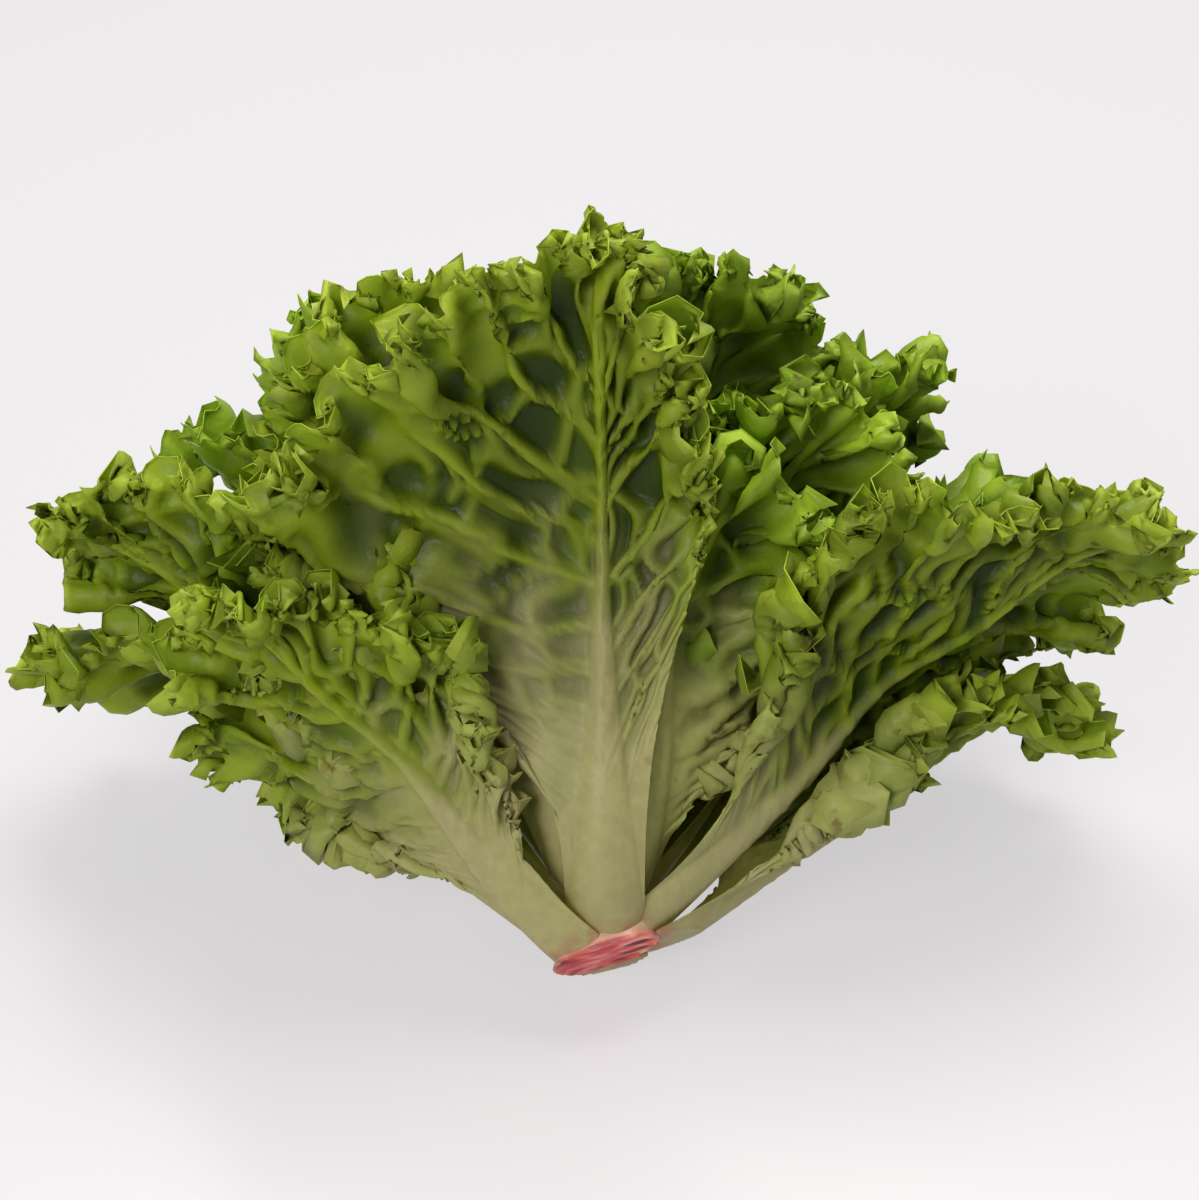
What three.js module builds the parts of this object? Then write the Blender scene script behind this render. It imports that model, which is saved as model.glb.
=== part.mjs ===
// A head of lollo bionda lettuce, cut from its root and lying on its side on a flat surface.
// Units are millimetres, +Z is up, and the surface that the head lies on is z = 0.
// The origin is the middle of the head's footprint, on that surface.
//
// The head is one cut stump and a rosette of separate leaves, nested like cones: each leaf lies on a
// shell of its own. Shell 1 is the outside of the head and shell 0 its axis, so leaves on different
// shells never touch. A leaf is a slab, bent onto its shell.

import * as THREE from "three";

const DEG = Math.PI / 180;

// How the head lies: its axis rises from the cut stump at this angle, leaning away from -Y.
const AXIS_TILT = 35 * DEG;

// The cut stump: the short stem that carries the leaves, with the slanting face of the cut below.
const CUT_RADIUS = 13;
const CUT_HEIGHT = 7.5; // from the outer shell's apex to the middle of the cut, along the axis
const CUT_SLANT = 0.3; // rise of the cut from left to right, per millimetre
const STUMP_TOP = 60; // where the stem ends, inside the heart
const STUMP_GAP = 0.5; // clearance between the stem and each leaf

// The shells: angle from the axis to the outer one, near the stump and further out.
const SPREAD_BASE = 60 * DEG;
const SPREAD_SIDE = 60 * DEG;
const SPREAD_UPPER = 37 * DEG;
const SPREAD_LOWER = 33 * DEG;
const SPREAD_FROM = 14; // distances from the apex over which the base angle gives way
const SPREAD_TO = 75;
const CURL = 8 * DEG; // how far the top of the head turns outwards, on its upper side
const CURL_FROM = 95; // distances from the apex over which it does
const CURL_TO = 175;
const SHELL_RISE = 36; // how far up the stem the innermost shell's apex sits
const INNERMOST = 0.1; // the shell of the last heart leaf

// The leaves' common shape.
const PETIOLE_HALF_WIDTH = 10.5; // of the outermost leaf; a leaf further in is narrower and thinner at its foot
const HEART_PETIOLE = 0.35; // the innermost leaf's share of that
const FLARE_FROM = 0.12; // shares of the leaf's length over which it widens into the blade
const FLARE_TO = 0.78;
const TIP_NARROWING = 0.2; // how much narrower than the widest place the tip edge is
const TIP_ROUNDING = 0.26; // how far the tip edge's corners fall back, as a share of the length
const BLADE_THICKNESS = 1.3;
const RIB_THICKNESS = 2.9; // the rib's own height, on top of the blade, where the leaf leaves the stem
const WAVE_HEIGHT = 4; // the slow waves of the rim
const WAVE_COUNT = 3.5; // waves up one side of a leaf
const WRAP_LIMIT = 0.4; // least sine of a shell's angle that a leaf is rolled to, so heart leaves crumple instead
const SEGMENTS_ACROSS = 8;
const SEGMENTS_ALONG = 9;

// The leaves, from the outside in. az is the way the leaf points, in degrees round the axis:
// 0 is up and forwards, 90 is right and 180 is down, on the surface. length runs from the shell's
// apex to the tip, and left and right are the half-widths on either side of the rib.
const LEAVES = [
  { name: "outer_leaf_1", az: 180, length: 156, left: 66, right: 66 },
  { name: "outer_leaf_2", az: -57, length: 134, left: 56, right: 28 },
  { name: "outer_leaf_3", az: 106, length: 148, left: 50, right: 56 },
  { name: "outer_leaf_4", az: -101, length: 172, left: 60, right: 56 },
  { name: "outer_leaf_5", az: -1, length: 178, left: 74, right: 24 },
  { name: "outer_leaf_6", az: 76, length: 172, left: 54, right: 66 },
  { name: "outer_leaf_7", az: -78, length: 170, left: 62, right: 56 },
  { name: "outer_leaf_8", az: 148, length: 168, left: 62, right: 64 },
  { name: "outer_leaf_9", az: -28, length: 168, left: 56, right: 56 },
  { name: "middle_leaf_1", az: -157, length: 166, left: 62, right: 60 },
  { name: "middle_leaf_2", az: 29, length: 120, left: 34, right: 38 },
  { name: "middle_leaf_3", az: 113, length: 172, left: 58, right: 58 },
  { name: "middle_leaf_4", az: -101, length: 174, left: 58, right: 60 },
  { name: "middle_leaf_5", az: 52, length: 138, left: 46, right: 48 },
  { name: "middle_leaf_6", az: 168, length: 164, left: 60, right: 60 },
  { name: "middle_leaf_7", az: -57, length: 162, left: 62, right: 56 },
  { name: "middle_leaf_8", az: 88, length: 164, left: 52, right: 62 },
  { name: "middle_leaf_9", az: -140, length: 158, left: 56, right: 58 },
  { name: "middle_leaf_10", az: 30, length: 156, left: 64, right: 68 },
  { name: "middle_leaf_11", az: 136, length: 158, left: 54, right: 56 },
  { name: "middle_leaf_12", az: -88, length: 156, left: 56, right: 54 },
  { name: "heart_leaf_1", az: 60, length: 148, left: 54, right: 56 },
  { name: "heart_leaf_2", az: -170, length: 144, left: 48, right: 48 },
  { name: "heart_leaf_3", az: -30, length: 134, left: 48, right: 48 },
  { name: "heart_leaf_4", az: 102, length: 136, left: 42, right: 42 },
  { name: "heart_leaf_5", az: -115, length: 128, left: 38, right: 38 },
  { name: "heart_leaf_6", az: 10, length: 118, left: 32, right: 32 },
  { name: "heart_leaf_7", az: 150, length: 104, left: 26, right: 26 },
];

const COLOURS = { outer: 0x6f8a2a, middle: 0x7f9a34, heart: 0xa3b455, stump: 0xc2735f };

const smooth = (from, to, x) => THREE.MathUtils.smoothstep(x, from, to);

// The angle from the axis to the outer shell, far from the stump, in the direction az.
function spread(az) {
  const end = Math.cos(az) > 0 ? SPREAD_UPPER : SPREAD_LOWER;
  return SPREAD_SIDE + (end - SPREAD_SIDE) * Math.cos(az) ** 2;
}

// The angle from the axis to shell f, at distance r from its apex.
function shellAngle(f, r, az) {
  const curl = CURL * smooth(CURL_FROM, CURL_TO, r) * (0.5 + 0.5 * Math.cos(az));
  return f * (THREE.MathUtils.lerp(SPREAD_BASE, spread(az), smooth(SPREAD_FROM, SPREAD_TO, r)) + curl);
}

// The head's own frame: its axis is +Z and az 0 is -Y. Returns the distance out from the axis and up it.
function profile(f, r, angle) {
  return { out: r * Math.sin(angle), up: SHELL_RISE * (1 - f) + r * Math.cos(angle) };
}

const stumpRadius = (up) => {
  const share = THREE.MathUtils.clamp((up - CUT_HEIGHT) / (STUMP_TOP - CUT_HEIGHT), 0, 1);
  return 2 + (CUT_RADIUS - 2) * (1 - share) ** 1.4;
};

// The stem with the slanting cut across its foot.
function makeStump() {
  const rings = 7;
  const points = [new THREE.Vector2(0, CUT_HEIGHT)];
  for (let i = 0; i <= rings; i++) {
    const up = THREE.MathUtils.lerp(CUT_HEIGHT, STUMP_TOP, i / rings);
    points.push(new THREE.Vector2(stumpRadius(up), up));
  }
  points.push(new THREE.Vector2(0, STUMP_TOP));
  const stump = new THREE.LatheGeometry(points, 20).rotateX(90 * DEG);
  const p = stump.attributes.position;
  for (let i = 0; i < p.count; i++) {
    const fade = 1 - smooth(CUT_HEIGHT, STUMP_TOP, p.getZ(i));
    p.setZ(i, p.getZ(i) + CUT_SLANT * p.getX(i) * fade);
  }
  return stump;
}

const petioleShare = (f) => THREE.MathUtils.lerp(HEART_PETIOLE, 1, f);

// Where on its shell a leaf leaves the stem: clear of the stem's side and above the cut.
function leafStart(f, az) {
  const cut = CUT_HEIGHT + CUT_SLANT * CUT_RADIUS * Math.sin(az);
  const reach = (BLADE_THICKNESS + RIB_THICKNESS * petioleShare(f)) / 2 + STUMP_GAP;
  let r = 2;
  for (; r < STUMP_TOP; r += 0.1) {
    const angle = shellAngle(f, r, az);
    const { out, up } = profile(f, r, angle);
    if (out - reach * Math.cos(angle) > stumpRadius(up) && up - reach * Math.sin(angle) > cut) break;
  }
  return r;
}

// One leaf: a slab in the flat leaf's own coordinates, bent onto shell f.
function makeLeaf(leaf, f) {
  const az = leaf.az * DEG;
  const start = leafStart(f, az);
  const slab = new THREE.BoxGeometry(2, 1, 1, SEGMENTS_ACROSS, SEGMENTS_ALONG, 1);
  const p = slab.attributes.position;
  for (let i = 0; i < p.count; i++) {
    const w = p.getX(i); // -1 at the left rim, 1 at the right
    const t = p.getY(i) + 0.5; // 0 at the stem, 1 at the tip
    const side = p.getZ(i); // -0.5 on the inner face, 0.5 on the outer

    // The flat leaf: x across it, and y along the rib from the shell's apex.
    const widest = w < 0 ? leaf.left : leaf.right;
    const narrowing = 1 - TIP_NARROWING * smooth(FLARE_TO, 1, t);
    const foot = PETIOLE_HALF_WIDTH * petioleShare(f);
    const half = THREE.MathUtils.lerp(foot, widest, smooth(FLARE_FROM, FLARE_TO, t));
    const x = w * half * narrowing;
    const y = start + (leaf.length - start) * t * (1 - TIP_ROUNDING * w * w * t * t);

    // Rolled onto its shell, it keeps its distances from the apex and along each ring.
    const r = Math.hypot(x, y);
    const middle = shellAngle(f, r, az);
    const round = az + Math.atan2(x, y) / Math.max(Math.sin(middle), WRAP_LIMIT);
    const wave = WAVE_HEIGHT * f * w * w * smooth(0.3, 1, t) * Math.sin(2 * Math.PI * WAVE_COUNT * t + leaf.az);
    const angle = shellAngle(f, r, round) + wave / r;

    // Thickness, square to the shell.
    const rib = RIB_THICKNESS * petioleShare(f) * (1 - t) ** 1.6 * (1 - w * w);
    const off = side * (BLADE_THICKNESS + rib);
    const { out, up } = profile(f, r, angle);
    const o = out + off * Math.cos(angle);
    p.setXYZ(i, o * Math.sin(round), -o * Math.cos(round), up - off * Math.sin(angle));
  }
  return slab;
}

const matte = (color) => new THREE.MeshStandardMaterial({ color, roughness: 0.6, metalness: 0 });

const head = new THREE.Group();
head.rotation.x = AXIS_TILT - 90 * DEG;

const stump = new THREE.Mesh(makeStump(), matte(COLOURS.stump));
stump.name = "stump";
head.add(stump);

LEAVES.forEach((leaf, i) => {
  const f = THREE.MathUtils.lerp(1, INNERMOST, i / (LEAVES.length - 1));
  const mesh = new THREE.Mesh(makeLeaf(leaf, f), matte(COLOURS[leaf.name.split("_")[0]]));
  mesh.name = leaf.name;
  head.add(mesh);
});

// The origin goes to the middle of the footprint, at the height of the lowest point.
const lettuce = new THREE.Group();
lettuce.add(head);
lettuce.updateMatrixWorld(true);
const box = new THREE.Box3().setFromObject(lettuce, true);
const centre = box.getCenter(new THREE.Vector3());
head.position.set(-centre.x, -centre.y, -box.min.z);

export default lettuce;
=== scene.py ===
"""A head of lollo bionda lettuce, cut from its root and lying on its side.

Lengths are in millimetres until make_mesh turns them into metres. The head's own frame has its axis
along +Z, from the cut stump up, and azimuth 0 towards -Y. The leaves lie on nested shells, as the
frame's solids do: shell 1 is the outside of the head and shell 0 its axis.
"""

import bpy
import numpy as np
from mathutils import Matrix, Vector


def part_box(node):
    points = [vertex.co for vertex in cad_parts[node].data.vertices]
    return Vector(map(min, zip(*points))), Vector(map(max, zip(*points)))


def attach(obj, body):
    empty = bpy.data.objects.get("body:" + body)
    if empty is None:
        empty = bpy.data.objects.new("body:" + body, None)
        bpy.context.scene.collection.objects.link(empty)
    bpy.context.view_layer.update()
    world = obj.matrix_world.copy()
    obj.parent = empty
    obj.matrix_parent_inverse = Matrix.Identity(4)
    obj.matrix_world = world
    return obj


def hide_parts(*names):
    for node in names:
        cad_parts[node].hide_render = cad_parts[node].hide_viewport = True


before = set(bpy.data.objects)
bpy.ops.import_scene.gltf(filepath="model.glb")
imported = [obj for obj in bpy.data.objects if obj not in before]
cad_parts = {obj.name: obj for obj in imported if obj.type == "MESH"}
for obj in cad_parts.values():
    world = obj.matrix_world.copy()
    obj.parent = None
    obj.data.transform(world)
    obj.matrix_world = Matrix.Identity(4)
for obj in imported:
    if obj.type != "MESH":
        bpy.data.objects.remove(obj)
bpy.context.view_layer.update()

MM = 0.001
DEG = np.pi / 180

# How the head lies, and its shells. These are the driving dimensions of the frame's solids.
AXIS_TILT = 35 * DEG
CUT_RADIUS = 13
CUT_HEIGHT = 7.5
CUT_SLANT = 0.3
STUMP_TOP = 60
STUMP_LID = STUMP_TOP * 0.9  # the hidden top of the stem
SPREAD_BASE = 60 * DEG
SPREAD_SIDE = 60 * DEG
SPREAD_UPPER = 37 * DEG
SPREAD_LOWER = 33 * DEG
SPREAD_FROM, SPREAD_TO = 14, 75
CURL = 8 * DEG
CURL_FROM, CURL_TO = 95, 175
SHELL_RISE = 36
INNERMOST = 0.1

# The flat leaf's outline.
PETIOLE_HALF_WIDTH = 10.5
HEART_PETIOLE = 0.35
FLARE_FROM, FLARE_TO = 0.12, 0.78
TIP_NARROWING = 0.2
TIP_ROUNDING = 0.26
WRAP_LIMIT = 0.4

# The leaf's own thickness, and how deep its relief is.
LAMINA = 0.42
RIB_THICKNESS = 3.4
VEIN_THICKNESS = 0.5
PIT_DEPTH = 4.2
FOOT_OVERLAP = 4  # how far a leaf's foot reaches into the stem, as far as the cut
FLOOR_SOFTENING = 3  # height over which a leaf that reaches the floor is pressed flat

# The leaves, from the outside in: name, azimuth, length, half-widths, and the look of each. detail is
# a share of the finest mesh, ruffle scales the frills, pale is how far up the blade the white of the
# base reaches and light how bright its green is.
LEAF_FIELDS = ("name", "az", "length", "left", "right", "detail", "ruffle", "pale", "light")
LEAVES = [
    dict(zip(LEAF_FIELDS, row))
    for row in (
        ("outer_leaf_1", 180, 156, 66, 66, 0.42, 0.8, 0.3, 0.3),
        ("outer_leaf_2", -57, 134, 56, 28, 0.8, 1.0, 0.45, 0.9),
        ("outer_leaf_3", 106, 148, 50, 56, 0.6, 1.0, 0.45, 0.9),
        ("outer_leaf_4", -101, 172, 60, 56, 0.6, 1.0, 0.4, 0.4),
        ("outer_leaf_5", -1, 178, 74, 24, 1.05, 1.0, 0.42, 0.2),
        ("outer_leaf_6", 76, 172, 54, 66, 0.85, 1.0, 0.3, 0.1),
        ("outer_leaf_7", -78, 170, 62, 56, 0.7, 1.0, 0.3, 0.4),
        ("outer_leaf_8", 148, 168, 62, 64, 0.42, 0.9, 0.3, 0.3),
        ("outer_leaf_9", -28, 168, 56, 56, 0.65, 1.0, 0.3, 0.4),
        ("middle_leaf_1", -157, 166, 62, 60, 0.42, 0.9, 0.3, 0.4),
        ("middle_leaf_2", 29, 120, 34, 38, 0.6, 1.1, 0.6, 0.8),
        ("middle_leaf_3", 113, 172, 58, 58, 0.42, 1.0, 0.3, 0.5),
        ("middle_leaf_4", -101, 174, 58, 60, 0.42, 1.0, 0.3, 0.5),
        ("middle_leaf_5", 52, 138, 46, 48, 0.7, 1.1, 0.4, 0.6),
        ("middle_leaf_6", 168, 164, 60, 60, 0.42, 0.9, 0.3, 0.5),
        ("middle_leaf_7", -57, 162, 62, 56, 0.6, 1.0, 0.3, 0.4),
        ("middle_leaf_8", 88, 164, 52, 62, 0.6, 1.1, 0.3, 0.4),
        ("middle_leaf_9", -140, 158, 56, 58, 0.42, 0.9, 0.3, 0.5),
        ("middle_leaf_10", 30, 156, 64, 68, 0.9, 1.2, 0.3, 0.4),
        ("middle_leaf_11", 136, 158, 54, 56, 0.42, 1.0, 0.3, 0.5),
        ("middle_leaf_12", -88, 156, 56, 54, 0.42, 1.0, 0.3, 0.5),
        ("heart_leaf_1", 60, 148, 54, 56, 0.75, 1.2, 0.3, 0.5),
        ("heart_leaf_2", -170, 144, 48, 48, 0.42, 1.0, 0.4, 0.6),
        ("heart_leaf_3", -30, 134, 48, 48, 0.42, 1.1, 0.4, 0.6),
        ("heart_leaf_4", 102, 136, 42, 42, 0.42, 1.1, 0.4, 0.7),
        ("heart_leaf_5", -115, 128, 38, 38, 0.42, 1.1, 0.5, 0.8),
        ("heart_leaf_6", 10, 118, 32, 32, 0.42, 1.1, 0.5, 0.9),
        ("heart_leaf_7", 150, 104, 26, 26, 0.42, 1.1, 0.6, 1.0),
    )
]
# Sides that lie flat against the next leaf: the share of the length, left and right, without frills.
CALM = {
    "outer_leaf_5": (0, 0.62),
    "outer_leaf_9": (0, 0.75),
    "middle_leaf_2": (0.9, 0),
}
COLUMNS = 122  # of the finest mesh beside the rib, up each side of the leaf; the rim has four times as many
ROWS = 44  # from the rib to the rim
DOUBLED_AT = (0.5, 0.8)  # shares of the rows after which the columns double
SIDE_VEIN_GAP = 15.0  # between the lateral veins, along the rim
LOBE = 13.5  # length of a blunt lobe along the rim

# The frills: waves on waves, each set smaller and nearer the rim. A tooth stands on each crest and in
# each trough of the last set.
WAVE_1, WAVE_2, TOOTH = 34, 10.5, 3.0


def lerp(a, b, x):
    return a + (b - a) * x


def smooth(start, end, x):
    x = np.clip((np.asarray(x, float) - start) / (end - start), 0, 1)
    return x * x * (3 - 2 * x)


class Noise:
    """Smooth noise of any number of coordinates, from a handful of sine waves about one unit long."""

    def __init__(self, seed, waves=14):
        self.rng = np.random.default_rng(seed)
        self.waves = waves

    def layer(self, *coordinates):
        total = 0
        for _ in range(self.waves):
            phase = self.rng.uniform(0, 2 * np.pi)
            direction = self.rng.normal(size=len(coordinates))
            direction *= self.rng.uniform(0.6, 1.3) * 2 * np.pi / np.linalg.norm(direction)
            for c, k in zip(coordinates, direction):
                phase = phase + k * c
            total = total + np.sin(phase)
        return total / np.sqrt(self.waves / 2)


# The shells.


def spread(az):
    end = np.where(np.cos(az) > 0, SPREAD_UPPER, SPREAD_LOWER)
    return SPREAD_SIDE + (end - SPREAD_SIDE) * np.cos(az) ** 2


def shell_angle(f, r, az):
    curl = CURL * smooth(CURL_FROM, CURL_TO, r) * (0.5 + 0.5 * np.cos(az))
    return f * (lerp(SPREAD_BASE, spread(az), smooth(SPREAD_FROM, SPREAD_TO, r)) + curl)


def on_shell(f, az, x, y):
    """The flat leaf's point (x, y) on shell f round the azimuth az, and the way out of the shell there."""
    r = np.hypot(x, y)
    turn = az + np.arctan2(x, y) / np.maximum(np.sin(shell_angle(f, r, az)), WRAP_LIMIT)
    angle = shell_angle(f, r, turn)
    out, up = r * np.sin(angle), SHELL_RISE * (1 - f) + r * np.cos(angle)
    point = np.stack([out * np.sin(turn), -out * np.cos(turn), up], -1)
    away = np.stack([np.cos(angle) * np.sin(turn), -np.cos(angle) * np.cos(turn), -np.sin(angle)], -1)
    return point, away


def stump_radius(up):
    share = np.clip((up - CUT_HEIGHT) / (STUMP_TOP - CUT_HEIGHT), 0, 1)
    return 2 + (CUT_RADIUS - 2) * (1 - share) ** 1.4


def petiole_share(f):
    return lerp(HEART_PETIOLE, 1, f)


def leaf_start(f, az):
    """Where on its shell a leaf leaves the stem: against the stem's side and just above the cut."""
    cut = CUT_HEIGHT + CUT_SLANT * CUT_RADIUS * np.sin(az)
    reach = 1.2 * petiole_share(f)
    r = np.arange(2, STUMP_TOP, 0.1)
    angle = shell_angle(f, r, az)
    out, up = r * np.sin(angle), SHELL_RISE * (1 - f) + r * np.cos(angle)
    clear = (out - reach * np.cos(angle) > stump_radius(up)) & (up - reach * np.sin(angle) > cut)
    return r[np.argmax(clear)]


# The grid of a leaf, in the flat leaf's coordinates.


def side_outline(leaf, f, start, widest, columns):
    """One side of the outline, from the foot of the leaf to the middle of its tip: (columns, 2)."""
    t = np.linspace(0, 1, 240)
    foot = PETIOLE_HALF_WIDTH * petiole_share(f)
    half = lerp(foot, widest, smooth(FLARE_FROM, FLARE_TO, t)) * (1 - TIP_NARROWING * smooth(FLARE_TO, 1, t))
    side = np.stack([half, start + (leaf["length"] - start) * t * (1 - TIP_ROUNDING * t * t)], -1)
    w = np.linspace(1, 0, 120)[1:]
    tip = np.stack([w * half[-1], start + (leaf["length"] - start) * (1 - TIP_ROUNDING * w * w)], -1)
    outline = np.concatenate([side, tip])
    # the corner between the side and the tip is rounded off
    window = np.hanning(61)
    padded = np.pad(outline, ((30, 30), (0, 0)), mode="reflect", reflect_type="odd")
    rounded = np.stack([np.convolve(padded[:, i], window / window.sum(), "valid") for i in (0, 1)], -1)
    rounded[-1, 0] = 0
    steps = np.hypot(*np.diff(rounded, axis=0).T)
    middle = (rounded[1:, 1] + rounded[:-1, 1]) / 2
    density = lerp(0.45, 1, smooth(0.15, 0.5, middle / leaf["length"]))
    place = np.concatenate([[0], np.cumsum(steps * density)])
    arc = np.concatenate([[0], np.cumsum(steps)])
    wanted = np.linspace(0, place[-1], columns)
    points = np.stack([np.interp(wanted, place, rounded[:, i]) for i in (0, 1)], -1)
    return points, np.interp(wanted, place, arc)


def leaf_grid(leaf, f, start, columns, rows):
    """x, y, the distance to the rim and the length run along it, over a grid of columns and rows.

    Columns run from the foot of the left side round the tip to the foot of the right side, and
    rows from the rib to the rim. The two sides share the rib's points.
    """
    left, left_arc = side_outline(leaf, f, start, leaf["left"], columns)
    right, right_arc = side_outline(leaf, f, start, leaf["right"], columns)
    rim = np.concatenate([left * [-1, 1], right[-2::-1]])
    run = np.concatenate([left_arc, left_arc[-1] + right_arc[-1] - right_arc[-2::-1]])
    share = np.linspace(0, 1, columns) ** 1.15
    up_rib = start + (0.86 * leaf["length"] - start) * share
    rib_y = np.concatenate([up_rib, up_rib[-2::-1]])
    even = np.linspace(0, 1, rows)
    v = even - 0.4 / (2 * np.pi) * np.sin(2 * np.pi * even)
    x = rim[:, :1] * v
    y = rib_y[:, None] + (rim[:, 1:] - rib_y[:, None]) * v
    y = y - 0.1 * np.abs(rim[:, :1]) * v * (1 - v) * 4
    reach = np.hypot(rim[:, 0], rim[:, 1] - rib_y)[:, None]
    return x, y, reach * (1 - v), np.repeat(run[:, None], rows, 1), np.repeat(v[None], len(run), 0)


def frame_of(p):
    """Unit vectors over a grid of points: along the rim, and out of the surface."""
    along = np.gradient(p, axis=0)
    across = np.gradient(p, axis=1)
    normal = np.cross(along, across)
    normal /= np.linalg.norm(normal, axis=-1, keepdims=True) + 1e-9
    along = along / (np.linalg.norm(along, axis=-1, keepdims=True) + 1e-9)
    return along, normal


def cells(a, b, seed):
    """Distances to the nearest and the next of a jittered grid of points, one in each unit square."""
    rng = np.random.default_rng(seed)
    jitter = rng.uniform(0.12, 0.88, (64, 64, 2))
    ia, ib = np.floor(a).astype(int), np.floor(b).astype(int)
    near = np.full(a.shape, 9.0)
    next_near = np.full(a.shape, 9.0)
    for da in (-1, 0, 1):
        for db in (-1, 0, 1):
            j = jitter[(ia + da) % 64, (ib + db) % 64]
            d = np.hypot(ia + da + j[..., 0] - a, ib + db + j[..., 1] - b)
            next_near = np.minimum(next_near, np.maximum(near, d))
            near = np.minimum(near, d)
    return near, next_near


def teeth(tooth, run, seed):
    """How far the rim stands out at each place along it: pointed teeth on blunt lobes."""
    noise = Noise(seed)
    point = 1 - np.abs(tooth % 1 - 0.5) * 2
    lobe = np.abs((run / LOBE + 0.25 * noise.layer(run / 30)) % 1 - 0.5) * 2
    strength = np.clip(0.9 + 0.4 * noise.layer(run / 12), 0.3, 1.4)
    return 3.3 * (1 - point) ** 1.5 * strength + 2.4 * (0.5 - lobe)


def make_leaf(leaf, index):
    f = lerp(1, INNERMOST, index / (len(LEAVES) - 1))
    az = leaf["az"] * DEG
    start = leaf_start(f, az) - FOOT_OVERLAP
    columns = 4 * int(COLUMNS * leaf["detail"]) + 1
    rows = int(ROWS * leaf["detail"] ** 0.6)
    x, y, to_rim, run, v = leaf_grid(leaf, f, start, columns, rows)
    length = leaf["length"]
    t = (y - start) / (length - start)
    noise = Noise(100 + index)

    # teeth and lobes in the plane of the leaf, only where the blade is
    blade = smooth(0.14, 0.45, y / length)
    frilled = smooth(0.2, 0.5, y / length)
    calm = np.where(x < 0, *CALM.get(leaf["name"], (0, 0)))
    frilled = frilled * np.where(calm > 0, smooth(0, 1, (y / length - calm) / 0.2 + 0.5), 1)
    tooth = run / TOOTH + 0.22 * noise.layer(run / 12)
    outward = teeth(tooth, run, 200 + index) * smooth(6, 0, to_rim) ** 1.2 * blade * lerp(0.3, 1, frilled)
    rim_x, rim_y = x[:, -1:], y[:, -1:]
    lead = np.hypot(rim_x - x[:, :1], rim_y - y[:, :1]) + 1e-6
    x = x + outward * (rim_x - x[:, :1]) / lead
    y = y + outward * (rim_y - y[:, :1]) / lead

    p, away = on_shell(f, az, x, y)

    # the rim rolls outwards, more at the tip
    roll = smooth(26, 0, to_rim) ** 1.5 * lerp(2.0, 6.0, smooth(0.5, 1, t)) * frilled
    drift = 2.2 * noise.layer(x / 60, y / 60) * smooth(0.2, 0.7, t)
    p = p + away * (roll + drift)[..., None]

    # the frills
    scale = leaf["ruffle"]
    sets = (
        (WAVE_1, 6.0 * scale, smooth(0.3, 1, v) ** 1.3, 0.08),
        (WAVE_2, 4.4 * scale, smooth(24, 0, to_rim) ** 1.2, 0.06),
        (2 * TOOTH, 1.7 * scale, smooth(5, 0, to_rim), 0.04),
    )
    for wave, height, fade, fold in sets:
        along, normal = frame_of(p)
        if wave == 2 * TOOTH:
            phase = np.pi * (tooth + 0.5)
        else:
            warp = 0.55 * noise.layer(run / (2.2 * wave), to_rim / (4 * wave))
            phase = 2 * np.pi * run / wave + warp + 1.8 * to_rim / wave
        size = height * np.clip(1 + 0.25 * noise.layer(run / (2.2 * wave)), 0.5, 1.4)
        lift = size * fade * frilled
        p = p + normal * (lift * np.sin(phase))[..., None]
        p = p - along * (fold * wave * fade * frilled * np.sin(2 * phase))[..., None]

    # lateral veins along the columns, a net of small ones between them, and pits inside the net
    around = run / SIDE_VEIN_GAP + 0.12 * noise.layer(x / 30, y / 30)
    near, next_near = cells(around * 1.1, to_rim / 13 + 0.3 * noise.layer(x / 22, y / 22), 300 + index)
    net = 1 - smooth(0.02, 0.5, next_near - near)
    side_vein = np.abs(around % 1 - 0.5) * 2
    reach = smooth(4, 22, to_rim)
    lateral = smooth(0.74, 0.97, side_vein) * reach
    vein = np.maximum(net * 0.75, lateral) * smooth(0.1, 0.3, t)
    rib_width = lerp(PETIOLE_HALF_WIDTH * petiole_share(f), 1.1, smooth(0.02, 0.62, t) ** 0.6)
    rib = np.clip(1 - (x / rib_width) ** 2, 0, 1)
    in_blade = smooth(0.24, 0.5, t) * smooth(0, 1, np.abs(x) / rib_width - 0.6)
    pit_and_shade = (1 - np.clip(vein, 0, 1)) * in_blade
    pit_and_shade = pit_and_shade * lerp(0.45, 1, smooth(3, 16, to_rim)) * lerp(0.3, 1, smooth(0, 0.4, v))
    _, normal = frame_of(p)
    outer = np.sign(np.sum(normal * away, -1).mean())
    normal = normal * outer
    p = p - normal * (PIT_DEPTH * pit_and_shade)[..., None]

    # the two faces: the rib and veins stand out of the outer one
    _, normal = frame_of(p)
    normal = normal * outer
    taper = (1 - t.clip(0, 1)) ** 1.3
    swell = RIB_THICKNESS * petiole_share(f) * taper * rib + 0.5 * rib * smooth(1, 0.6, t)
    swell = swell + VEIN_THICKNESS * vein * reach * smooth(0.05, 0.3, t)
    thin = lerp(1, 0.6, smooth(8, 0, to_rim))
    face = p + normal * (LAMINA / 2 * thin + swell)[..., None]
    back = p - normal * (LAMINA / 2 * thin + 0.15 * swell)[..., None]

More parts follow.
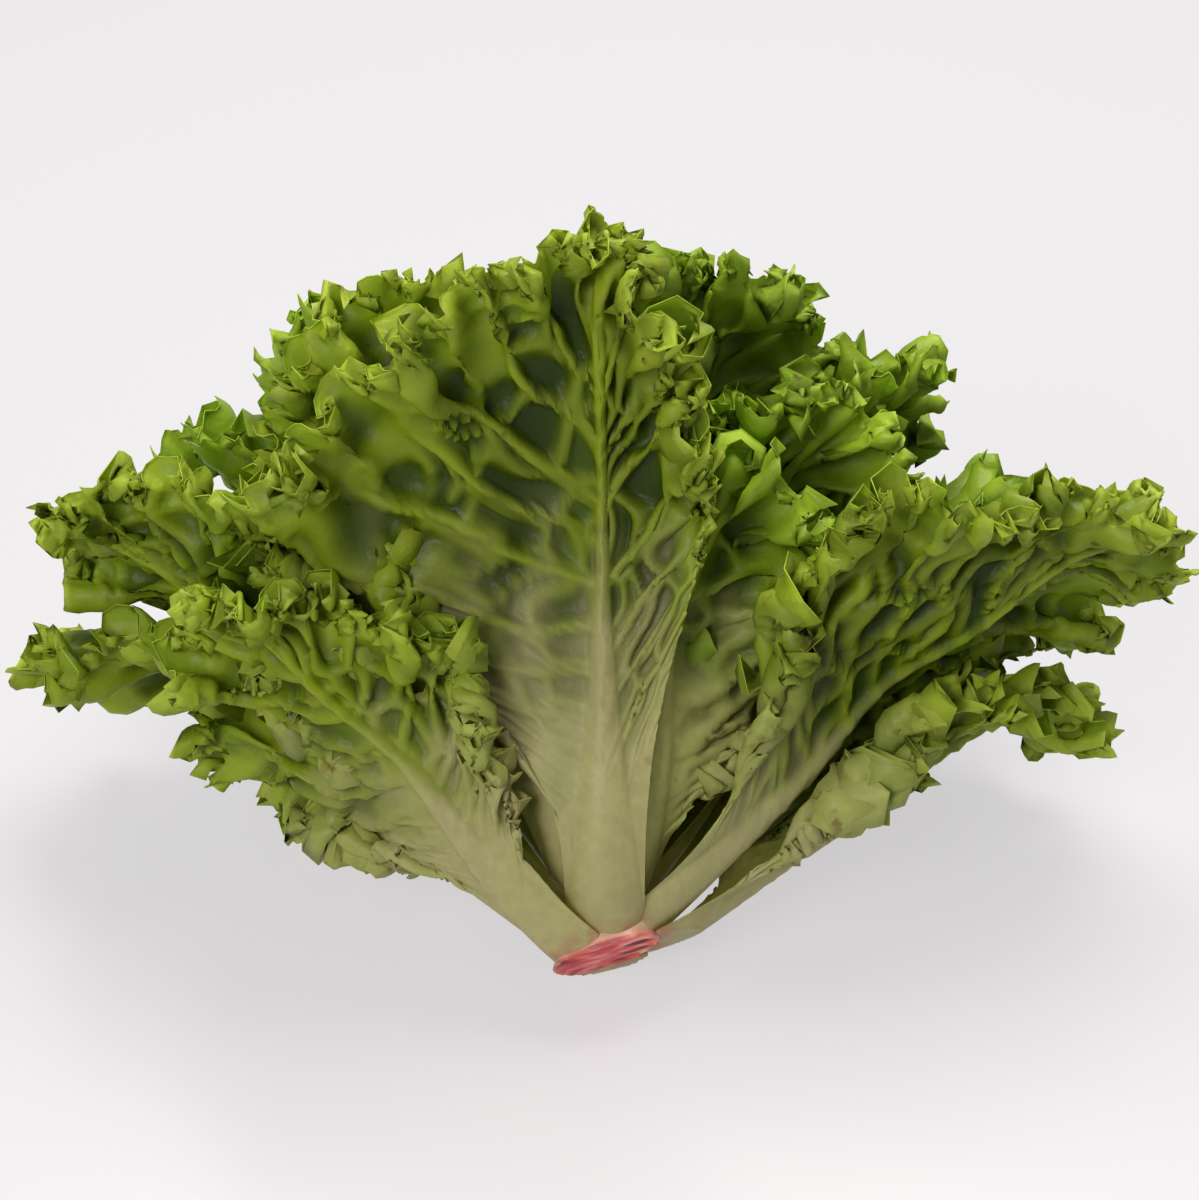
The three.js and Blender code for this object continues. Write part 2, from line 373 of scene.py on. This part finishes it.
    attributes = dict(
        pale=np.clip(
            0.95 * smooth(leaf["pale"] + 0.22, leaf["pale"] - 0.25, t + 0.04 * noise.layer(x / 14, y / 20))
            + rib * smooth(0.75, 0.15, t) * 0.8,
            0,
            1,
        ),
        vein=np.clip(vein + 0.6 * rib, 0, 1),
        # the pit mask sinks the pits into the blade, and the leaf material also uses it to paint shade into
        # them
        pit_and_shade=np.clip(pit_and_shade, 0, 1),
        # edge: a paler band along the rim that the leaf has, with a thin painted highlight on the very rim
        edge=(0.8 * smooth(1.3, 0, to_rim) + 0.3 * smooth(18, 0, to_rim)).clip(0, 1) * blade,
        green=np.clip(smooth(0.35, 0.95, v) * 0.6 + leaf["light"] * 0.6, 0, 1),
        foot=smooth(7, 0, y - start),
    )
    return leaf_mesh(leaf["name"], face, back, columns, attributes)


def leaf_mesh(name, face, back, columns, attributes):
    """A closed mesh from the two faces' grids.

    The sides of the leaf share the first row, and the columns double twice on the way out.
    """
    total, rows = face.shape[:2]
    share = np.arange(rows) / rows
    step = np.where(share < DOUBLED_AT[0], 4, np.where(share < DOUBLED_AT[1], 2, 1))
    own = (np.arange(total)[:, None] % step) == 0
    own[columns:, 0] = False
    number = np.full((total, rows), -1)
    number[own] = np.arange(own.sum())
    number[columns:, 0] = number[: columns - 1, 0][::-1]
    triangles = []
    for row in range(rows - 1):
        wide, fine = step[row], step[row + 1]
        a, b = number[0:-wide:wide, row], number[wide::wide, row]
        c, d = number[wide::wide, row + 1], number[0:-wide:wide, row + 1]
        if wide == fine:
            triangles += [np.stack([a, b, c], -1), np.stack([a, c, d], -1)]
        else:
            middle = number[fine::wide, row + 1]
            fans = ((d, a, middle), (a, b, middle), (middle, b, c))
            triangles += [np.stack(corners, -1) for corners in fans]
    triangles = np.concatenate(triangles)
    count = own.sum()
    rim = np.concatenate([number[0, ::-1], number[1:, -1], number[-1, -2:0:-1]])
    after = np.roll(rim, -1)
    wall = [(rim, rim + count, after), (after, rim + count, after + count)]
    wall = np.concatenate([np.stack(corners, -1) for corners in wall])
    faces = np.concatenate([triangles, triangles[:, ::-1] + count, wall])
    points = np.concatenate([face[own], back[own]])
    values = {key: np.concatenate([np.broadcast_to(a, own.shape)[own]] * 2) for key, a in attributes.items()}
    return make_mesh(name, points, faces, values)


# From the head's own frame to the table.


def place(points):
    c, s = np.cos(AXIS_TILT), np.sin(AXIS_TILT)
    x, y, z = points.T
    return np.stack([x, y * s + z * c, -y * c + z * s], -1)


def stump_points(up_cut):
    ring = np.linspace(0, 2 * np.pi, 20, endpoint=False)
    up = up_cut + CUT_SLANT * CUT_RADIUS * np.cos(ring)
    return np.stack([CUT_RADIUS * np.cos(ring), CUT_RADIUS * np.sin(ring), up], -1)


STUMP_LOW = np.array(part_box("stump")[0]) / MM
CUT_RING = place(stump_points(CUT_HEIGHT))
SHIFT = STUMP_LOW - CUT_RING.min(axis=0)


def make_mesh(name, points, faces, values):
    points[:, 2] = np.maximum(points[:, 2], CUT_HEIGHT + CUT_SLANT * points[:, 0])  # the knife's cut
    at = place(points) + SHIFT
    low = at[:, 2] < FLOOR_SOFTENING
    at[low, 2] = FLOOR_SOFTENING * np.exp((at[low, 2] - FLOOR_SOFTENING) / FLOOR_SOFTENING)
    return add_piece(name, at, faces.tolist(), values, sum_volume(at, faces) < 0)


def add_piece(name, at, faces, values, inside_out):
    mesh = bpy.data.meshes.new(name)
    mesh.from_pydata(at * MM, [], faces)
    mesh.update()
    if inside_out:
        mesh.flip_normals()
    for key, value in values.items():
        mesh.attributes.new(key, "FLOAT", "POINT").data.foreach_set("value", value.astype(np.float32))
    mesh.polygons.foreach_set("use_smooth", np.ones(len(mesh.polygons), bool))
    piece = bpy.data.objects.new(name + "_look", mesh)
    bpy.context.scene.collection.objects.link(piece)
    return piece


def sum_volume(points, faces):
    p, q, r = (points[faces[:, i]] for i in range(3))
    return np.sum(p * np.cross(q, r)) / 6


def make_stump():
    """The stem, round its side and across the cut, with the layers of the leaf bases showing in the cut."""
    around, across, up_side = 160, 34, 24
    noise = Noise(11)
    turn = np.linspace(0, 2 * np.pi, around, endpoint=False)
    edge = 1 + 0.03 * noise.layer(np.cos(turn) * 1.2, np.sin(turn) * 1.2)
    rings = []
    face_mark = []
    for i in range(1, across + 1):
        share = i / across
        x, y = share * CUT_RADIUS * edge * np.sin(turn), -share * CUT_RADIUS * edge * np.cos(turn)
        ridge = 0.28 * noise_ridges(x, y) * smooth(1, 0.9, share)
        bead = -0.5 * smooth(0.86, 0.94, share) * smooth(1.02, 0.95, share)
        rings.append(np.stack([x, y, CUT_HEIGHT + CUT_SLANT * x + ridge + bead], -1))
        face_mark.append(np.full(around, lerp(1, 0.85, smooth(0.8, 1, share))))
    for i in range(1, up_side + 1):
        share = (i / up_side) ** 1.4
        up = lerp(CUT_HEIGHT, STUMP_LID, share)
        radius = stump_radius(up) * edge
        x, y = radius * np.sin(turn), -radius * np.cos(turn)
        fade = 1 - smooth(CUT_HEIGHT, STUMP_TOP, up)
        rings.append(np.stack([x, y, up + CUT_SLANT * x * fade], -1))
        face_mark.append(np.full(around, 0.6 * float(smooth(5, 0, up - CUT_HEIGHT))))
    rings = np.array(rings)
    middle = [0, 0, CUT_HEIGHT + 0.28 * float(noise_ridges(0.0, 0.0))]
    top = [0, 0, STUMP_LID]
    points = np.concatenate([rings.reshape(-1, 3), [middle, top]])
    count = len(rings)
    index = np.arange(count * around).reshape(count, around)
    turned = np.roll(index, -1, axis=1)
    walls = np.stack([index[:-1], turned[:-1], turned[1:], index[1:]], -1).reshape(-1, 4)
    bottom = np.stack([index[0], np.full(around, count * around), turned[0]], -1)
    lid = np.stack([turned[-1], np.full(around, count * around + 1), index[-1]], -1)
    faces = [list(f) for f in walls] + [list(f) for f in np.concatenate([bottom, lid])]
    values = {"cut": np.concatenate([np.array(face_mark).reshape(-1), [1, 0]])}
    faces = [[int(v) for v in f] for f in faces]
    return add_piece("stump", place(points) + SHIFT, faces, values, True)


def noise_ridges(x, y):
    """Long low ridges across the cut, where the knife dragged through the stem's fibres."""
    noise = Noise(12, waves=8)
    return noise.layer(x / 16, y / 2.6)


# Materials.


def new_material(name):
    material = bpy.data.materials.new(name)
    material.use_nodes = True
    nodes = material.node_tree.nodes
    nodes.clear()
    return material, nodes, material.node_tree.links


def mixed(nodes, links, factor, a, b, blend="MIX"):
    mix = nodes.new("ShaderNodeMix")
    mix.data_type = "RGBA"
    mix.blend_type = blend
    for socket, value in zip((mix.inputs[0], mix.inputs[6], mix.inputs[7]), (factor, a, b)):
        if isinstance(value, bpy.types.NodeSocket):
            links.new(value, socket)
        else:
            socket.default_value = value
    return mix.outputs[2]


def attribute(nodes, name):
    node = nodes.new("ShaderNodeAttribute")
    node.attribute_name = name
    return node.outputs["Fac"]


def noise_value(nodes, links, size, detail=4, low=0.35, high=0.65):
    """Noise with features about size millimetres across, stretched to run from 0 to 1."""
    coordinates = nodes.new("ShaderNodeTexCoord")
    noise = nodes.new("ShaderNodeTexNoise")
    noise.inputs["Scale"].default_value = 1 / (size * MM)
    noise.inputs["Detail"].default_value = detail
    links.new(coordinates.outputs["Object"], noise.inputs["Vector"])
    ramp = nodes.new("ShaderNodeMapRange")
    ramp.inputs["From Min"].default_value = low
    ramp.inputs["From Max"].default_value = high
    links.new(noise.outputs["Fac"], ramp.inputs["Value"])
    return ramp.outputs["Result"]


def product(nodes, links, a, b):
    math = nodes.new("ShaderNodeMath")
    math.operation = "MULTIPLY"
    math.use_clamp = True
    for socket, value in zip(math.inputs, (a, b)):
        if isinstance(value, bpy.types.NodeSocket):
            links.new(value, socket)
        else:
            socket.default_value = value
    return math.outputs[0]


def leaf_material(name, dark, bright, vein_colour, pale_colour, rim_tint_and_highlight_colour):
    material, nodes, links = new_material(name)
    green = mixed(nodes, links, attribute(nodes, "green"), dark, bright)
    blotches = noise_value(nodes, links, 22, 5)
    deeper = mixed(nodes, links, 1.0, green, (0.72, 0.78, 0.62, 1), "MULTIPLY")
    green = mixed(nodes, links, blotches, green, deeper)
    grain = noise_value(nodes, links, 1.6, 6, 0.3, 0.7)
    lighter = mixed(nodes, links, 1.0, green, (1.22, 1.18, 1.1, 1), "MULTIPLY")
    green = mixed(nodes, links, grain, green, lighter)
    veined = mixed(nodes, links, product(nodes, links, attribute(nodes, "vein"), 0.9), green, vein_colour)
    # painted shade: the pits between the veins are darkened almost to black-green, standing in for the shade
    # that falls in them
    painted_pit_shade = product(nodes, links, attribute(nodes, "pit_and_shade"), 0.78)
    veined = mixed(nodes, links, painted_pit_shade, veined, (0.012, 0.030, 0.001, 1))
    # the rim's own paler tint, and a thin painted highlight along the very rim where the frills catch the
    # light
    rim_tinted_and_lit = mixed(nodes, links, product(nodes, links, attribute(nodes, "edge"), 0.8), veined, rim_tint_and_highlight_colour)
    fibres = noise_value(nodes, links, 3.5, 5)
    pale_mix = mixed(nodes, links, fibres, pale_colour, tuple(c * 0.88 for c in pale_colour[:3]) + (1,))
    whitened = mixed(nodes, links, attribute(nodes, "pale"), rim_tinted_and_lit, pale_mix)
    spots = product(nodes, links, noise_value(nodes, links, 9, 5, 0.66, 0.72), attribute(nodes, "green"))
    whitened = mixed(nodes, links, product(nodes, links, spots, 0.55), whitened, (0.14, 0.055, 0.012, 1))
    blush = product(nodes, links, attribute(nodes, "foot"), noise_value(nodes, links, 5, 4, 0.4, 0.6))
    colour = mixed(nodes, links, product(nodes, links, blush, 0.7), whitened, (0.50, 0.16, 0.12, 1))

    surface = nodes.new("ShaderNodeBsdfPrincipled")
    links.new(colour, surface.inputs["Base Color"])
    surface.inputs["Roughness"].default_value = 0.42
    surface.inputs["Specular IOR Level"].default_value = 0.28
    through = nodes.new("ShaderNodeBsdfTranslucent")
    links.new(mixed(nodes, links, 1.0, colour, (1.35, 1.5, 0.7, 1), "MULTIPLY"), through.inputs["Color"])
    both = nodes.new("ShaderNodeMixShader")
    both.inputs[0].default_value = 0.38
    links.new(surface.outputs[0], both.inputs[1])
    links.new(through.outputs[0], both.inputs[2])
    relief = nodes.new("ShaderNodeBump")
    relief.inputs["Strength"].default_value = 0.35
    relief.inputs["Distance"].default_value = 0.35 * MM
    links.new(noise_value(nodes, links, 1.3, 5, 0.2, 0.8), relief.inputs["Height"])
    links.new(relief.outputs[0], surface.inputs["Normal"])
    output = nodes.new("ShaderNodeOutputMaterial")
    links.new(both.outputs[0], output.inputs["Surface"])
    return material


def stump_material():
    material, nodes, links = new_material("cut_stem")
    coordinates = nodes.new("ShaderNodeTexCoord")
    stretch = nodes.new("ShaderNodeMapping")
    stretch.inputs["Scale"].default_value = (60, 420, 420)
    stretch.inputs["Rotation"].default_value = (0, 0.29, 0)
    links.new(coordinates.outputs["Object"], stretch.inputs["Vector"])
    streak = nodes.new("ShaderNodeTexNoise")
    streak.inputs["Scale"].default_value = 1
    streak.inputs["Detail"].default_value = 6
    links.new(stretch.outputs[0], streak.inputs["Vector"])
    ramp = nodes.new("ShaderNodeValToRGB")
    stops = ramp.color_ramp.elements
    stops[0].position, stops[0].color = 0.36, (0.14, 0.006, 0.014, 1)
    stops[1].position, stops[1].color = 0.70, (0.78, 0.30, 0.20, 1)
    stops.new(0.46).color = (0.52, 0.030, 0.035, 1)
    stops.new(0.56).color = (0.64, 0.075, 0.075, 1)
    links.new(streak.outputs["Fac"], ramp.inputs[0])
    side = mixed(nodes, links, noise_value(nodes, links, 4), (0.50, 0.47, 0.25, 1), (0.66, 0.62, 0.42, 1))
    cut = attribute(nodes, "cut")
    colour = mixed(nodes, links, cut, side, ramp.outputs[0])
    surface = nodes.new("ShaderNodeBsdfPrincipled")
    links.new(colour, surface.inputs["Base Color"])
    surface.inputs["Roughness"].default_value = 0.38
    surface.inputs["Subsurface Weight"].default_value = 0.15
    surface.inputs["Subsurface Scale"].default_value = 2 * MM
    relief = nodes.new("ShaderNodeBump")
    relief.inputs["Strength"].default_value = 0.5
    relief.inputs["Distance"].default_value = 0.5 * MM
    links.new(streak.outputs["Fac"], relief.inputs["Height"])
    links.new(relief.outputs[0], surface.inputs["Normal"])
    output = nodes.new("ShaderNodeOutputMaterial")
    links.new(surface.outputs[0], output.inputs["Surface"])
    return material


LEAF_MATERIALS = {
    "outer": leaf_material(
        "outer_leaf", (0.050, 0.090, 0.002, 1), (0.38, 0.52, 0.006, 1), (0.33, 0.40, 0.020, 1),
        (0.52, 0.47, 0.22, 1), (0.54, 0.62, 0.08, 1)),
    "middle": leaf_material(
        "middle_leaf", (0.060, 0.13, 0.002, 1), (0.34, 0.52, 0.006, 1), (0.33, 0.43, 0.02, 1),
        (0.48, 0.47, 0.16, 1), (0.46, 0.60, 0.07, 1)),
    "heart": leaf_material(
        "heart_leaf", (0.075, 0.17, 0.005, 1), (0.32, 0.47, 0.03, 1), (0.28, 0.38, 0.06, 1),
        (0.58, 0.60, 0.28, 1), (0.44, 0.58, 0.12, 1)),
}


# The head.

stump = make_stump()
stump.data.materials.append(stump_material())
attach(stump, "root")
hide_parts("stump")

for index, leaf in enumerate(LEAVES):
    kind = leaf["name"].split("_")[0]
    piece = make_leaf(leaf, index)
    piece.data.materials.append(LEAF_MATERIALS[kind])
    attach(piece, "root")
    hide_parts(leaf["name"])


# The stage: a pale floor, soft light from above, and the camera.


def add_floor():
    mesh = bpy.data.meshes.new("floor")
    mesh.from_pydata([(-8, -4, 0), (8, -4, 0), (8, 12, 0), (-8, 12, 0)], [], [(0, 1, 2, 3)])
    floor = bpy.data.objects.new("floor", mesh)
    bpy.context.scene.collection.objects.link(floor)
    material, nodes, links = new_material("pale_floor")
    surface = nodes.new("ShaderNodeBsdfPrincipled")
    surface.inputs["Base Color"].default_value = (0.17, 0.165, 0.17, 1)
    surface.inputs["Roughness"].default_value = 0.3
    surface.inputs["Emission Color"].default_value = (1, 0.975, 1, 1)
    surface.inputs["Emission Strength"].default_value = 0.58
    output = nodes.new("ShaderNodeOutputMaterial")
    links.new(surface.outputs[0], output.inputs["Surface"])
    mesh.materials.append(material)


def add_light(name, position, size, power, colour, target):
    data = bpy.data.lights.new(name, "AREA")
    data.shape = "RECTANGLE"
    data.size, data.size_y = size
    data.energy = power
    data.color = colour
    light = bpy.data.objects.new(name, data)
    light.location = position
    light.rotation_euler = (Vector(target) - Vector(position)).to_track_quat("-Z", "Y").to_euler()
    bpy.context.scene.collection.objects.link(light)


VIEW_ELEVATION = 35 * DEG
VIEW_WIDTH = 0.288  # what the picture spans at the head's distance
LENS, SENSOR = 100, 36
AIM_UP = 0.0955  # from the cut's middle to the picture's middle
AIM_SIDE = -0.0015


def add_camera():
    data = bpy.data.cameras.new("camera")
    data.lens, data.sensor_width = LENS, SENSOR
    camera = bpy.data.objects.new("camera", data)
    low, high = (Vector(corner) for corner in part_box("stump"))
    cut = Vector(((low.x + high.x) / 2, low.y, low.z)) + Vector((0, 0, 0.004))
    look = Vector((0, np.cos(VIEW_ELEVATION), -np.sin(VIEW_ELEVATION)))
    up = Vector((0, np.sin(VIEW_ELEVATION), np.cos(VIEW_ELEVATION)))
    aim = cut + up * AIM_UP + Vector((AIM_SIDE, 0, 0))
    camera.location = aim - look * (VIEW_WIDTH * LENS / SENSOR)
    camera.rotation_euler = look.to_track_quat("-Z", "Y").to_euler()
    data.clip_start, data.clip_end = 0.01, 50
    bpy.context.scene.collection.objects.link(camera)
    bpy.context.scene.camera = camera


def add_world():
    world = bpy.data.worlds.new("studio")
    world.use_nodes = True
    background = world.node_tree.nodes["Background"]
    background.inputs["Color"].default_value = (0.93, 0.93, 1.0, 1)
    background.inputs["Strength"].default_value = 0.3
    bpy.context.scene.world = world


add_floor()
add_camera()
add_world()
HEAD = (0, 0, 0.07)
add_light("overhead", (0.1, 0.35, 1.1), (0.9, 0.6), 19, (1, 0.98, 0.92), HEAD)
add_light("front_fill", (-0.5, -0.9, 0.75), (0.5, 0.5), 9, (1, 1, 0.97), HEAD)
bpy.context.scene.view_settings.view_transform = "Standard"
